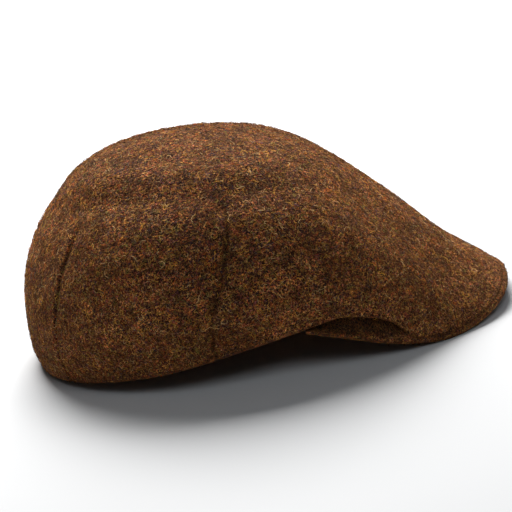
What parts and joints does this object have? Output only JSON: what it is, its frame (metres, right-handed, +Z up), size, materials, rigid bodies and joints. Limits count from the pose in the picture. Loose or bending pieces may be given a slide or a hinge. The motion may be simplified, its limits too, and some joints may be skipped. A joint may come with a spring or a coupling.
{
  "type": "flat cap",
  "caption": "Rounded wool tweed flat cap with darted crown cloth sewn down over a curved peak, open below for the head.",
  "frame": {"origin": "middle of the cap's outline on the floor that it rests on", "axes": "+X to the front of the cap, +Y to the wearer's left, +Z up from the floor"},
  "size_m": [0.2586, 0.1816, 0.1134],
  "materials": {
    "crown_tweed": "brown heather wool tweed with rust, ochre, green and plum flecks",
    "peak_tweed": "the same tweed, pulled over a stiff board"
  },
  "bodies": {
    "root": {"crown": "crown_tweed", "peak": "peak_tweed"}
  },
  "joints": []
}
